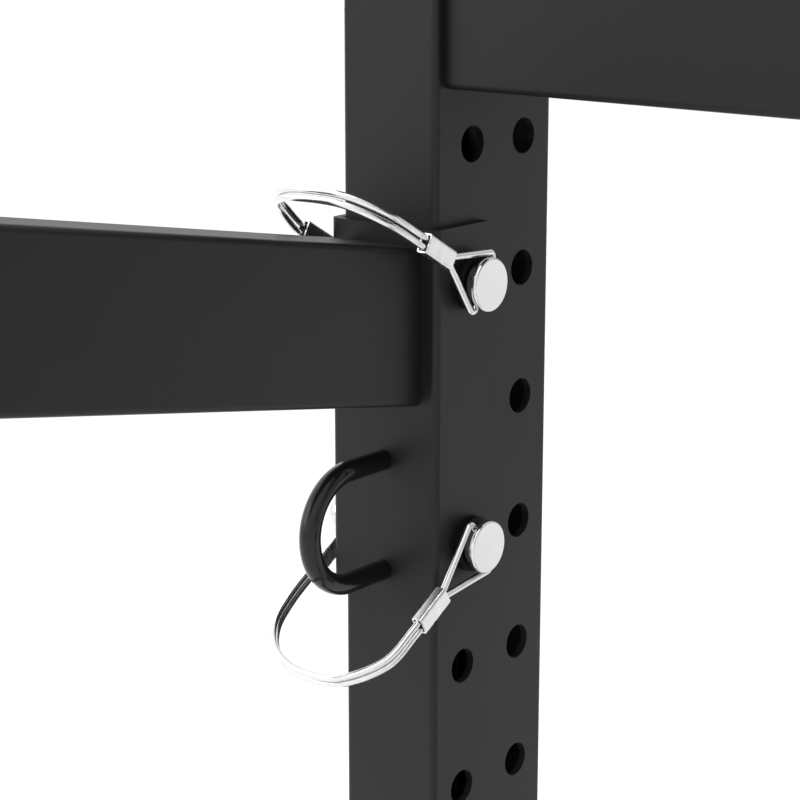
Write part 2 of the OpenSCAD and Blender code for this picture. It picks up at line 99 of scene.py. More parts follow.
# Lanyards: the ferrules' distances at the head and at the tail, their angle, and the cable's
# middle line from the pin axis, in mm
LANYARDS = {
    "upper": {
        "ferrules": (31.3, 27.3, 30),
        "route": ((29, 53, 30.5), (18.6, 65, 37.6), (0.5, 68, 38.4), (-16.5, 58.5, 34.5),
                  (-26.8, 46.5, 29)),
    },
    "lower": {
        "ferrules": (34.5, 19.4, -30.5),
        "route": ((28.5, 53.6, -31.9), (17, 66, -37.6), (-0.5, 68.5, -38), (-16.5, 62.5, -35.6),
                  (-26.6, 52, -30.5), (-29.8, 40, -23.5)),
    },
}
# Points of a cable's line near a ferrule, in mm from the ferrule's outer end
LEAD_IN = (-14, -3, 4)
ROUTE_STEPS = 14

# Band rings, and collars on the arm brackets
RING_STEPS = 40
COLLAR_T = 3.0 * MM
COLLAR_R = 10.5 * MM
COLLAR_EDGE = 0.5 * MM
HOLE_R = 6.75 * MM

# Spotter arms, as in the CAD model
ARM_RISE = 10.05
ARM_LEN = 560 * MM
ARM_UP = 35 * MM
ARM_W, ARM_H = 35 * MM, 58 * MM
ARM_CAP_T = 3 * MM
TUBE_CORNER = 2.5 * MM

# Moulded caps: the rounding of the rim, the rise of the crown, and the tightest corner
CAP_RIM = 1.2 * MM
CAP_CROWN = 0.6 * MM
CAP_CORNER = 0.4 * MM

# Bolts and washers, as in the CAD model
BOLT_FLATS = 19 * MM
BOLT_HEAD = 4.6 * MM
BOLT_R = 5.95 * MM
THREAD_END = 1.2 * MM
WASHER_BORE = 6.5 * MM
WASHER_EDGE = 0.5 * MM
# Hexagon heads: the flat top as a share of the flats, the dish in it as a share of the top, the
# chamfer's slope and the dish's depth
HEX_TOP_SHARE, HEX_DISH_SHARE = 0.94, 0.9
HEX_CHAMFER = math.radians(30)
HEX_DISH = 0.25 * MM

# Bar hooks, from the upright's middle at the hook's pivot, as in the CAD model
HOOK_BACK = 35.5 * MM
HOOK_T = 6 * MM
HOOK_TOP = 20 * MM
HOOK_DROP = 112 * MM
HOOK_LIP = 34 * MM
HOOK_CUP = 60 * MM
HOOK_WIDE = 56 * MM
HOOK_SIDE = 28.5 * MM
HOOK_EYE = 17 * MM
LINER_T = 8 * MM
PEG_TIP = 31 * MM

# Thickness of the safety pins' heads
SAFETY_HEAD_T = 5 * MM

# Weld beads: radius, middle's distance from both surfaces, scallops and spacing of points
BEAD_R = 2.4 * MM
BEAD_OFF = 1.0 * MM
BEAD_SIDES = 10
SCALLOP_DEPTH, SCALLOP_APART = 0.16, 2.6 * MM
BEAD_STEP = 0.65 * MM
BAR_BEAD_STEPS = 160


# ---------------------------------------------------------------- geometry helpers


def middle(node):
    """Middle of a CAD node's box at rest."""
    lo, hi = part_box(node)
    return (Vector(lo) + Vector(hi)) / 2


def spline_point(a, b, c, d, s):
    """Point at share s of the Catmull-Rom stretch from b to c."""
    return 0.5 * (2 * b + (c - a) * s + (2 * a - 5 * b + 4 * c - d) * s * s
                  + (3 * b - a - 3 * c + d) * s ** 3)


def spline(points, steps):
    """Smooth line through all the points but the first and the last, which only set directions."""
    made = []
    for i in range(1, len(points) - 2):
        for k in range(steps):
            made.append(spline_point(*points[i - 1:i + 3], k / steps))
    return made + [points[-2]]


def rounded_corner(before, corner, after, radius, steps=8):
    """Points of an arc of that radius between the lines before-corner and corner-after."""
    a, b = (before - corner).normalized(), (after - corner).normalized()
    half = a.angle(b) / 2
    room = 0.9 * min((before - corner).length, (after - corner).length)
    reach = min(radius / math.tan(half), room)
    start, end = corner + a * reach, corner + b * reach
    centre = corner + (a + b).normalized() * (reach / math.cos(half))
    arm = (start - centre).length
    first, last = (start - centre).normalized(), (end - centre).normalized()
    return [centre + arm * first.slerp(last, i / steps) for i in range(steps + 1)]


def rounded_path(points, radius):
    """Line through the points, with its inner corners rounded."""
    made = [points[0]]
    for i in range(1, len(points) - 1):
        made += rounded_corner(points[i - 1], points[i], points[i + 1], radius)
    return made + [points[-1]]


def tangents(path):
    """Direction of the path at each of its points."""
    last = len(path) - 1
    return [(path[min(i + 1, last)] - path[max(i - 1, 0)]).normalized() for i in range(last + 1)]


def square_to(v, t):
    """Direction of the part of v that is square to t."""
    return (v - t * v.dot(t)).normalized()


def skin(bm, rings):
    """Faces between each ring of vertices and the next."""
    for low, high in zip(rings, rings[1:]):
        for k in range(len(low)):
            j = (k + 1) % len(low)
            bm.faces.new((low[k], low[j], high[j], high[k]))


def close_ends(bm, rings):
    """A face over the first ring of vertices and one over the last."""
    bm.faces.new(rings[0][::-1])
    bm.faces.new(rings[-1])


def sweep(path, radius, sides, up=None, ripple=None):
    """Round bar along the path, with UVs in metres along it and turns round it.

    up is a direction that isn't along the path's start. ripple is the depth of scallops along
    the bar, as a share of the radius, and their spacing in metres."""
    bm = bmesh.new()
    uv_layer = bm.loops.layers.uv.new("along_and_round")
    along = tangents(path)
    normal = square_to(up or Vector((0.31, 0.22, 0.93)), along[0])
    rings, lengths, length = [], [], 0.0
    before = path[0]
    for p, t in zip(path, along):
        normal = square_to(normal, t)
        side = t.cross(normal)
        length += (p - before).length
        before = p
        r = radius
        if ripple:
            depth, spacing = ripple
            r *= 1 - depth * (1 - abs(math.sin(math.pi * length / spacing)))
        turn = [2 * math.pi * k / sides for k in range(sides)]
        rings.append([bm.verts.new(p + r * (math.cos(a) * normal + math.sin(a) * side)) for a in turn])
        lengths.append(length)
    for i in range(len(rings) - 1):
        for k in range(sides):
            j = (k + 1) % sides
            face = bm.faces.new((rings[i][k], rings[i][j], rings[i + 1][j], rings[i + 1][k]))
            spots = ((i, k), (i, k + 1), (i + 1, k + 1), (i + 1, k))
            for loop, (row, turn_at) in zip(face.loops, spots):
                loop[uv_layer].uv = (lengths[row], turn_at / sides)
    close_ends(bm, rings)
    return bm


def lathe(origin, axis, profile, sides=64):
    """Solid of revolution from (distance along the axis, radius) pairs."""
    bm = bmesh.new()
    axis = axis.normalized()
    a = axis.orthogonal().normalized()
    b = axis.cross(a)
    rings = []
    for along, r in profile:
        centre = origin + axis * along
        if r <= 0:
            rings.append([bm.verts.new(centre)])
            continue
        rings.append([
            bm.verts.new(centre + r * (math.cos(t) * a + math.sin(t) * b))
            for t in (2 * math.pi * k / sides for k in range(sides))
        ])
    for low, high in zip(rings, rings[1:]):
        for k in range(sides):
            j = (k + 1) % sides
            if len(low) == 1:
                bm.faces.new((low[0], high[k], high[j]))
            elif len(high) == 1:
                bm.faces.new((low[k], low[j], high[0]))
            else:
                bm.faces.new((low[k], low[j], high[j], high[k]))
    return bm


def rounded_profile(corners, radii, steps=5):
    """Profile for lathe() with its inner corners rounded by the radii given."""
    points = [Vector((a, r, 0)) for a, r in corners]
    made = [points[0]]
    for i in range(1, len(points) - 1):
        if radii[i]:
            made += rounded_corner(points[i - 1], points[i], points[i + 1], radii[i], steps)
        else:
            made.append(points[i])
    made.append(points[-1])
    return [(p.x, p.y) for p in made]


def rounded_outline(w, h, r):
    """Outline of a rounded rectangle, anticlockwise, as 2-D points."""
    steps = 6
    made = []
    for cx, cy, start in ((1, 1, 0), (-1, 1, 90), (-1, -1, 180), (1, -1, 270)):
        for k in range(steps + 1):
            a = math.radians(start + 90 * k / steps)
            made.append((cx * (w / 2 - r) + r * math.cos(a), cy * (h / 2 - r) + r * math.sin(a)))
    return made


def loft(loops):
    """Closed skin over loops of equally many 3-D points."""
    bm = bmesh.new()
    rings = [[bm.verts.new(p) for p in loop] for loop in loops]
    skin(bm, rings)
    close_ends(bm, rings)
    return bm


def rounded_polygon(corners):
    """Closed outline from (across, up, corner radius) triples, as 2-D points."""
    steps = 6
    points = [Vector((a, b, 0)) for a, b, _ in corners]
    made = []
    for i, (_, _, radius) in enumerate(corners):
        after = points[(i + 1) % len(points)]
        corner = points[i]
        made += rounded_corner(points[i - 1], corner, after, radius, steps) if radius else [corner]
    return [(p.x, p.y) for p in made]


def eased_plate(outline, place, thickness, edge):
    """Flat outline extruded by the thickness, with its two rims eased over.

    place turns (out, across, up) into a point."""
    bm = bmesh.new()
    low = [bm.verts.new(place(0, a, b)) for a, b in outline]
    high = [bm.verts.new(place(thickness, a, b)) for a, b in outline]
    ends = [bm.faces.new(low[::-1]), bm.faces.new(high)]
    skin(bm, [low, high])
    rims = [e for face in ends for e in face.edges]
    bmesh.ops.bevel(bm, geom=rims, offset=edge, segments=3, profile=0.5, affect="EDGES")
    return bm


def flat_ring(origin, way, size, radii, steps, sides):
    """Ring like a washer. size is its thickness, its outer radius and its bore's radius."""
    thick, outer, bore = size
    corners = [(0, bore), (0, outer), (thick, outer), (thick, bore), (0, bore)]
    return lathe(origin, way, rounded_profile(corners, radii, steps), sides)


def joined(parts):
    """One bmesh out of several."""
    whole = bmesh.new()
    for part in parts:
        mesh = bpy.data.meshes.new("joining")
        part.to_mesh(mesh)
        part.free()
        whole.from_mesh(mesh)
        bpy.data.meshes.remove(mesh)
    return whole


def piece(name, bm, material, body, replaced=()):
    """Turns a bmesh into a piece of the object, with flat faces shaded flat up to their eased rims."""
    bmesh.ops.remove_doubles(bm, verts=bm.verts, dist=1e-7)
    bmesh.ops.recalc_face_normals(bm, faces=bm.faces)
    for face in bm.faces:
        face.smooth = True
    for edge in bm.edges:
        edge.smooth = len(edge.link_faces) == 2 and edge.calc_face_angle(0) < SMOOTH_BELOW
    mesh = bpy.data.meshes.new(name)
    bm.to_mesh(mesh)
    bm.free()
    obj = bpy.data.objects.new(name, mesh)
    bpy.context.scene.collection.objects.link(obj)
    obj.data.materials.append(material)
    obj.modifiers.new("flat_faces", "WEIGHTED_NORMAL").keep_sharp = True
    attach(obj, body)
    if replaced:
        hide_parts(*replaced)
    return obj


# ---------------------------------------------------------------- materials


class Nodes:
    """A material's nodes, made and joined in a few words."""

    def __init__(self, name, **sockets):
        self.material = bpy.data.materials.new(name)
        self.material.use_nodes = True
        self.tree = self.material.node_tree
        self.tree.nodes.clear()
        self.shader = self.add("ShaderNodeBsdfPrincipled")
        out = self.add("ShaderNodeOutputMaterial")
        self.link(self.shader.outputs["BSDF"], out.inputs["Surface"])
        for socket, value in sockets.items():
            self.shader.inputs[socket.replace("_", " ")].default_value = value
        self.places = self.add("ShaderNodeTexCoord")

    def add(self, kind, **settings):
        node = self.tree.nodes.new(kind)
        for key, value in settings.items():
            setattr(node, key, value)
        return node

    def link(self, a, b):
        self.tree.links.new(a, b)

    def noise(self, scale, detail, roughness=0.5, stretch=None):
        """Noise with features of about 1/scale metres, drawn out where stretch is under 1."""
        node = self.add("ShaderNodeTexNoise")
        node.inputs["Scale"].default_value = scale
        node.inputs["Detail"].default_value = detail
        node.inputs["Roughness"].default_value = roughness
        source = self.places.outputs["Object"]
        if stretch:
            mapping = self.add("ShaderNodeMapping")
            mapping.inputs["Scale"].default_value = stretch
            self.link(source, mapping.inputs["Vector"])
            source = mapping.outputs["Vector"]
        self.link(source, node.inputs["Vector"])
        return node.outputs["Fac"]

    def spread(self, value, low, high):
        """Maps the noise's usual span to low..high."""
        node = self.add("ShaderNodeMapRange")
        node.inputs["From Min"].default_value = NOISE_LOW
        node.inputs["From Max"].default_value = NOISE_HIGH
        node.inputs["To Min"].default_value = low
        node.inputs["To Max"].default_value = high
        self.link(value, node.inputs["Value"])
        return node.outputs["Result"]

    def maths(self, operation, a, b=None):
        """Result of an operation on a socket and, if it needs two, a socket or a number."""
        node = self.add("ShaderNodeMath", operation=operation)
        self.link(a, node.inputs[0])
        if isinstance(b, (int, float)):
            node.inputs[1].default_value = b
        elif b is not None:
            self.link(b, node.inputs[1])
        return node.outputs[0]

    def colours(self, value, low, high):
        """Base colour, from low to high over the noise's usual span."""
        node = self.add("ShaderNodeValToRGB")
        first, last = node.color_ramp.elements
        first.position, last.position = NOISE_LOW, NOISE_HIGH
        first.color, last.color = (*low, 1), (*high, 1)
        self.link(value, node.inputs["Fac"])
        self.link(node.outputs["Color"], self.shader.inputs["Base Color"])

    def rough(self, value, low, high):
        """Roughness, from low to high over the noise's usual span."""
        self.link(self.spread(value, low, high), self.shader.inputs["Roughness"])

    def bump(self, value, depth, strength, before=None):
        """Relief of that depth in metres, on top of the bump before."""
        node = self.add("ShaderNodeBump")
        node.inputs["Strength"].default_value = strength
        node.inputs["Distance"].default_value = depth
        self.link(value, node.inputs["Height"])
        if before is not None:
            self.link(before.outputs["Normal"], node.inputs["Normal"])
        self.link(node.outputs["Normal"], self.shader.inputs["Normal"])
        return node


def powder_coat():
    """Black powder coat: fine orange peel over a smooth satin film, with faint handling marks."""
    n = Nodes("black_powder_coat", Specular_IOR_Level=0.27)
    n.colours(n.noise(9, detail=4), (0.0058, 0.0058, 0.006), (0.0085, 0.0085, 0.0087))
    n.rough(n.noise(4, detail=5, roughness=0.6), 0.42, 0.5)
    peel = n.bump(n.noise(420, detail=2), depth=0.02 * MM, strength=0.35)
    n.bump(n.noise(2600, detail=1), depth=0.006 * MM, strength=0.3, before=peel)
    return n.material


def smooth_coat():
    """The same coat where it flowed out glossier, on bent rod."""
    n = Nodes("smooth_black_coat", Specular_IOR_Level=0.12, Coat_Weight=1.0, Coat_Roughness=0.05,
              Coat_IOR=1.3)
    n.colours(n.noise(20, detail=4), (0.004, 0.004, 0.0042), (0.0065, 0.0065, 0.0067))
    n.rough(n.noise(30, detail=4), 0.26, 0.34)
    n.bump(n.noise(700, detail=2), depth=0.01 * MM, strength=0.25)
    return n.material


def collar_coat():
    """Black of the pin collars, darker and more matt than the frame's coat."""
    n = Nodes("matt_collar_black", Specular_IOR_Level=0.16)
    n.colours(n.noise(60, detail=3), (0.0012, 0.0012, 0.0013), (0.0024, 0.0024, 0.0025))
    n.rough(n.noise(200, detail=3), 0.5, 0.6)
    n.bump(n.noise(1500, detail=2), depth=0.01 * MM, strength=0.4)
    return n.material


def bright_steel():
    """Plated and polished pin steel, with faint circular polishing and soft smudges."""
    n = Nodes("polished_pin_steel", Metallic=1.0)
    n.colours(n.noise(60, detail=3), (0.67, 0.67, 0.675), (0.73, 0.73, 0.735))
    n.rough(n.noise(220, detail=4, roughness=0.6), 0.14, 0.2)
    n.bump(n.noise(900, detail=2, stretch=(1, 5, 5)), depth=0.005 * MM, strength=0.3)
    return n.material


def ferrule_steel():
    """Pressed sleeve: bright plate, slightly rougher, drawn along its length."""
    n = Nodes("pressed_ferrule_steel", Metallic=1.0)
    n.colours(n.noise(150, detail=3), (0.7, 0.7, 0.705), (0.75, 0.75, 0.755))
    n.rough(n.noise(700, detail=3, stretch=(1, 0.15, 1)), 0.22, 0.28)
    n.bump(n.noise(1800, detail=2, stretch=(1, 0.1, 1)), depth=0.001 * MM, strength=0.2)
    return n.material


def cable_steel():
    """Bright wire rope under a clear skin, with fine wires that turn once round it in each lay."""
    n = Nodes("clear_skinned_wire_rope", Metallic=1.0, Coat_Weight=0.6, Coat_Roughness=0.06)
    n.colours(n.noise(300, detail=2), (0.7, 0.7, 0.705), (0.78, 0.78, 0.785))
    n.rough(n.noise(500, detail=2), 0.16, 0.22)
    split = n.add("ShaderNodeSeparateXYZ")
    n.link(n.places.outputs["UV"], split.inputs[0])
    wires, lay = 9, 9 * MM
    turns = n.maths("MULTIPLY", split.outputs["Y"], wires)
    along = n.maths("MULTIPLY", split.outputs["X"], wires / lay)
    angle = n.maths("MULTIPLY", n.maths("ADD", turns, along), 2 * math.pi)
    n.bump(n.maths("SINE", angle), depth=0.002 * MM, strength=0.15)
    return n.material


def zinc_steel():
    """Zinc-plated bolts and washers: dull, cloudy and slightly blue."""
    n = Nodes("zinc_plated_steel", Metallic=1.0)
    n.colours(n.noise(120, detail=4), (0.5, 0.51, 0.52), (0.66, 0.67, 0.69))
    n.rough(n.noise(300, detail=3), 0.3, 0.45)
    n.bump(n.noise(1500, detail=2), depth=0.01 * MM, strength=0.3)
    return n.material


def cap_plastic():
    """Moulded black plastic with a fine spark-eroded grain."""
    n = Nodes("grained_black_plastic", Specular_IOR_Level=0.45)
    n.colours(n.noise(30, detail=3), (0.009, 0.009, 0.0095), (0.014, 0.014, 0.0145))
    n.rough(n.noise(200, detail=3), 0.5, 0.62)
    n.bump(n.noise(1400, detail=3, roughness=0.6), depth=0.05 * MM, strength=0.5)
    return n.material


def liner_plastic():
    """Dense polyethylene liner: waxy, with saw marks along its length and small scuffs."""
    n = Nodes("waxy_liner_plastic", Specular_IOR_Level=0.4)
    n.colours(n.noise(25, detail=5, roughness=0.6), (0.02, 0.02, 0.021), (0.035, 0.035, 0.036))
    n.rough(n.noise(60, detail=4), 0.42, 0.58)
    marks = n.bump(n.noise(500, detail=2, stretch=(1, 0.04, 1)), depth=0.03 * MM, strength=0.4)
    n.bump(n.noise(90, detail=5, roughness=0.7), depth=0.05 * MM, strength=0.3, before=marks)
    return n.material


def pad_rubber():
    """Foot pad rubber: matt and slightly dusty."""
    n = Nodes("matt_pad_rubber", Specular_IOR_Level=0.3)
    n.colours(n.noise(40, detail=4), (0.014, 0.014, 0.014), (0.026, 0.026, 0.025))
    n.rough(n.noise(90, detail=3), 0.75, 0.9)
    n.bump(n.noise(800, detail=3), depth=0.1 * MM, strength=0.6)
    return n.material


def floor_white():
    """Pale studio floor with a barely visible mottle."""
    n = Nodes("pale_studio_floor", Specular_IOR_Level=0.1)
    n.colours(n.noise(3, detail=4), (0.86, 0.86, 0.86), (0.88, 0.88, 0.88))
    n.rough(n.noise(8, detail=3), 0.7, 0.8)
    return n.material


def make_materials():
    return {
        "frame_paint": powder_coat(),
        "smooth_coat": smooth_coat(),
        "collar_coat": collar_coat(),
        "pin_steel": bright_steel(),
        "ferrule": ferrule_steel(),
        "cable_steel": cable_steel(),
        "bolt_steel": zinc_steel(),
        "cap_plastic": cap_plastic(),
        "liner_plastic": liner_plastic(),
        "rubber": pad_rubber(),
    }


# ---------------------------------------------------------------- studio


def photographed_corner():
    """Inner front corner of the left front upright, at the upper pin's height."""
    lo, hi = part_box("upright_front_left")
    return Vector((hi[0], lo[1], middle("upper_pin_left").z))


def make_camera():
    data = bpy.data.cameras.new("camera")
    data.lens = CAMERA_LENS
    data.sensor_width = SENSOR_WIDTH
    data.clip_start, data.clip_end = 0.02, 100
    cam = bpy.data.objects.new("camera", data)
    cam.location = photographed_corner() + CAMERA_OFFSET
    cam.rotation_euler = (math.radians(90 - CAMERA_PITCH), 0, math.radians(CAMERA_YAW))
    bpy.context.scene.collection.objects.link(cam)
    bpy.context.scene.camera = cam


def make_floor():
    bm = bmesh.new()
    bm.faces.new([bm.verts.new((x * FLOOR_HALF, y * FLOOR_HALF, 0))
                  for x, y in ((-1, -1), (1, -1), (1, 1), (-1, 1))])
    mesh = bpy.data.meshes.new("studio_floor")
    bm.to_mesh(mesh)
    bm.free()
    floor = bpy.data.objects.new("studio_floor", mesh)
    floor.data.materials.append(floor_white())
    bpy.context.scene.collection.objects.link(floor)


def make_world():
    """White surroundings that grow brighter overhead and to the front left."""
    world = bpy.data.worlds.new("white_studio")
    world.use_nodes = True
    tree = world.node_tree
    tree.nodes.clear()
    out = tree.nodes.new("ShaderNodeOutputWorld")
    glow = tree.nodes.new("ShaderNodeBackground")
    glow.inputs["Color"].default_value = (1, 1, 1, 1)
    place = tree.nodes.new("ShaderNodeTexCoord")
    dot = tree.nodes.new("ShaderNodeVectorMath")
    dot.operation = "DOT_PRODUCT"
    dot.inputs[1].default_value = BRIGHT_WAY.normalized()
    span = tree.nodes.new("ShaderNodeMapRange")
    span.inputs["From Min"].default_value = -1.0
    span.inputs["From Max"].default_value = 1.0
    span.inputs["To Min"].default_value = DIM
    span.inputs["To Max"].default_value = BRIGHT
    tree.links.new(place.outputs["Generated"], dot.inputs[0])
    tree.links.new(dot.outputs["Value"], span.inputs["Value"])
    tree.links.new(span.outputs["Result"], glow.inputs["Strength"])
    tree.links.new(glow.outputs["Background"], out.inputs["Surface"])
    bpy.context.scene.world = world


def make_lights():
    for name, (place, size, power) in SOFTBOXES.items():
        data = bpy.data.lights.new(name, "AREA")
        data.shape = "SQUARE"
        data.size = size
        data.energy = power
        lamp = bpy.data.objects.new(name, data)
        lamp.location = place
        lamp.rotation_euler = (Vector(SOFTBOX_AIM) - Vector(place)).to_track_quat("-Z", "Y").to_euler()
        bpy.context.scene.collection.objects.link(lamp)


# ---------------------------------------------------------------- lock pins and lanyards


class PinPlace:
    """Places points given from the pin's axis: u along the pin, out to the front, and up."""

    def __init__(self, row, side):
        axis = middle(f"{row}_pin_{side}")
        self.origin = Vector((middle(f"upright_front_{side}").x, axis.y, axis.z))
        self.sign = 1 if side == "left" else -1
        self.body = f"{row}_pin_{side}"
        near, far, degrees = LANYARDS[row]["ferrules"]
        self.near, self.far = near * MM, far * MM
        self.tilt = math.radians(degrees)

    def ferrule_at(self, u):
        """Distance from the pin's axis to the middle of the ferrule at that end of the pin."""
        return self.near if u > 0 else self.far

    def at(self, u, out, up):
        """Point at those distances from the upright's middle plane and the pin's axis."""
        return self.origin + Vector((self.sign * u, -out, up))

    def on_lanyard(self, u, out, up):
        """The same, with out along the ferrules and up square to them."""
        c, s = math.cos(self.tilt), math.sin(self.tilt)
        return self.at(u, out * c - up * s, out * s + up * c)


def lock_pin(place, row, side, material):
    """Turned pin: tapered tail, shaft, wider neck, and a polished head."""
    tip = 2.0 * MM
    corners = [
        (-TAIL_AT - TAIL_TIP, 0), (-TAIL_AT - TAIL_TIP, SHAFT_R - tip), (-TAIL_AT, SHAFT_R),
        (NECK_FROM, SHAFT_R), (NECK_FROM, NECK_R), (HEAD_FROM, NECK_R),
        (HEAD_FROM, HEAD_R), (HEAD_TO, HEAD_R), (HEAD_TO, 0),
    ]
    radii = [0, 0.8 * MM, 1.0 * MM, 0, 0.7 * MM, 0.2 * MM, 0.5 * MM, 0.8 * MM, 0]
    bm = lathe(place.origin, place.sign * ACROSS, rounded_profile(corners, radii))
    piece(f"polished_{row}_pin_{side}", bm, material, place.body, [f"{row}_pin_{side}"])


def bails(place, row, side, material):
    """Two wire legs at each end, from the ferrule round into the pin's cross hole."""
    wires = []
    for u in (-BAIL_U, BAIL_U):
        start = place.ferrule_at(u) - FERRULE_LEN / 2
        for s in (-1, 1):
            corners = [
                place.on_lanyard(u, start + WIRE_IN, s * LEG_INSIDE),
                place.on_lanyard(u, start - MOUTH_GAP, s * LEG_AT_MOUTH),
                place.on_lanyard(u, 0, s * BAIL_REACH),
                place.on_lanyard(u, 0, s * BAIL_END),
            ]
            wires.append(sweep(rounded_path(corners, BAIL_BEND), BAIL_R, 16))
    piece(f"bent_{row}_bails_{side}", joined(wires), material, place.body,
          [f"{row}_bails_{side}"])


def sleeve_loop(place, u, along, inset, dent):
    """Loop round a ferrule at a share of its length, with its flats pressed in by the dent."""
    w, t = FERRULE_W - 2 * inset, FERRULE_T - 2 * inset - 2 * dent
    out = place.ferrule_at(u) + (along - 0.5) * FERRULE_LEN
    outline = rounded_outline(t, w, FERRULE_R - inset * 0.9)
    return [place.on_lanyard(u + x, out, y) for x, y in outline]


def ferrules(place, row, side, material):
    """Pressed flat sleeves, open at both ends, pinched twice where they grip the cable."""
    stations = [(0, RIM_DENT), (RIM_AT, 0)]
    for pinch in PINCHES_AT:
        stations += [(pinch - PINCH_HALF, 0), (pinch, PINCH_DENT), (pinch + PINCH_HALF, 0)]
    stations += [(1 - RIM_AT, 0), (1, RIM_DENT)]
    sleeves = []
    for u in (-BAIL_U, BAIL_U):
        outer = [sleeve_loop(place, u, along, 0, dent) for along, dent in stations]
        near = [sleeve_loop(place, u, along, FERRULE_WALL, 0) for along in (BORE_DEPTH, 0)]
        far = [sleeve_loop(place, u, along, FERRULE_WALL, 0) for along in (1, 1 - BORE_DEPTH)]
        sleeves.append(loft(near + outer + far))
    piece(f"pressed_{row}_ferrules_{side}", joined(sleeves), material, place.body,
          [f"{row}_ferrules_{side}"])


def cable_path(place, row):
    """Middle line of the two strands, from inside one ferrule to inside the other."""
    near_end, far_end = (d + FERRULE_LEN / 2 for d in (place.near, place.far))
    near = [place.on_lanyard(BAIL_U, near_end + k * MM, 0) for k in LEAD_IN]
    far = [place.on_lanyard(-BAIL_U, far_end + k * MM, 0) for k in LEAD_IN[::-1]]
    route = [place.at(*(v * MM for v in p)) for p in LANYARDS[row]["route"]]
    return spline(near + route + far, ROUTE_STEPS)


def cable(place, row, side, material):
    """Two strands side by side along the lanyard's middle line."""
    path = cable_path(place, row)
    up = place.on_lanyard(0, 0, 1) - place.on_lanyard(0, 0, 0)
    apart = [square_to(up, t) for t in tangents(path)]
    strands = [
        sweep([p + a * s * STRANDS_APART / 2 for p, a in zip(path, apart)], CABLE_R, 20, up)
        for s in (-1, 1)
    ]
    piece(f"looped_{row}_cable_{side}", joined(strands), material, place.body,
          [f"{row}_cable_{side}"])


def make_lock_pins(materials):
    for side in SIDES:
        for row in LANYARDS:
            place = PinPlace(row, side)
            lock_pin(place, row, side, materials["pin_steel"])
            bails(place, row, side, materials["pin_steel"])
            ferrules(place, row, side, materials["ferrule"])
            cable(place, row, side, materials["cable_steel"])


# ---------------------------------------------------------------- arm brackets


def band_ring(side, material):
    """Bent rod with its two legs welded to the bracket's front."""
    lo, hi = (Vector(v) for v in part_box(f"band_ring_{side}"))
    rod = (hi.x - lo.x) / 2
    legs = (hi.z - lo.z) / 2 - rod
    x, z = (lo.x + hi.x) / 2, (lo.z + hi.z) / 2
    front = lo.y + rod + legs
    path = [Vector((x, hi.y, z + legs))]
    for k in range(RING_STEPS + 1):
        a = math.pi * k / RING_STEPS
        path.append(Vector((x, front - legs * math.sin(a), z + legs * math.cos(a))))
    path.append(Vector((x, hi.y, z - legs)))
    bm = sweep(path, rod, 28, ACROSS)
    piece(f"bent_band_ring_{side}", bm, material, "frame", [f"band_ring_{side}"])


def make_collars(material):
    """Thin boss round each pin, on both sides of the bracket."""
    bosses = []
    for side in SIDES:
        lo, hi = (Vector(v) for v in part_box(f"arm_bracket_{side}"))
        for row in LANYARDS:
            axis = middle(f"{row}_pin_{side}")
            for face, direction in ((lo.x, -1), (hi.x, 1)):
                bosses.append(flat_ring(
                    Vector((face, axis.y, axis.z)), direction * ACROSS, (COLLAR_T, COLLAR_R, HOLE_R),
                    [0, 0, COLLAR_EDGE, COLLAR_EDGE / 2, 0], steps=5, sides=64))
    piece("rounded_pin_collars", joined(bosses), material, "frame", ["pin_collars"])


# ---------------------------------------------------------------- fasteners


def hex_head(origin, axis, flats, height):
    """Hexagon head with its chamfered corners and a slight dish of the top."""
    bm = bmesh.new()
    a = axis.orthogonal().normalized()
    b = axis.cross(a)
    sides, sixth = 72, math.pi / 3
    top_r = flats / 2 * HEX_TOP_SHARE
    base, rim, top, dish = [], [], [], []
    for k in range(sides):
        t = 2 * math.pi * k / sides
        from_flat = (t + sixth / 2) % sixth - sixth / 2
        r = flats / 2 / math.cos(from_flat)
        way = math.cos(t) * a + math.sin(t) * b
        drop = (r - top_r) * math.tan(HEX_CHAMFER)
        base.append(bm.verts.new(origin + way * r))
        rim.append(bm.verts.new(origin + way * r + axis * (height - drop)))
        top.append(bm.verts.new(origin + way * top_r + axis * height))
        dish.append(bm.verts.new(origin + way * top_r * HEX_DISH_SHARE + axis * (height - HEX_DISH)))
    skin(bm, [base, rim, top, dish])
    close_ends(bm, [base, dish])
    return bm


def loose_parts(node):
    """Lowest and highest corner of each separate solid in a CAD node's mesh."""
    bm = bmesh.new()
    bm.from_mesh(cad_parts[node].data)
    bmesh.ops.remove_doubles(bm, verts=bm.verts, dist=1e-6)
    seen, found = set(), []
    for start in bm.verts:
        if start in seen:
            continue
        stack, part = [start], []
        seen.add(start)
        while stack:
            v = stack.pop()
            part.append(v.co.copy())
            for edge in v.link_edges:
                other = edge.other_vert(v)
                if other not in seen:
                    seen.add(other)
                    stack.append(other)
        lo = Vector((min(p[i] for p in part) for i in range(3)))
        hi = Vector((max(p[i] for p in part) for i in range(3)))
        found.append((lo, hi))
    bm.free()
    return sorted(found, key=lambda box: tuple(round(v, 5) for v in (*box[0], *box[1])))


def outward(lo, hi):
    """Way that a fastener's head points, away from the cage's middle, and which axis it is along."""
    size = hi - lo
    axis = max(range(3), key=lambda i: size[i])
    cage_lo, cage_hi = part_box("base_crossmember" if axis == 0 else "base_rail_left")
    middle_at = (cage_lo[axis] + cage_hi[axis]) / 2
    way = Vector((0, 0, 0))
    way[axis] = 1 if (lo[axis] + hi[axis]) / 2 > middle_at else -1
    return way, axis


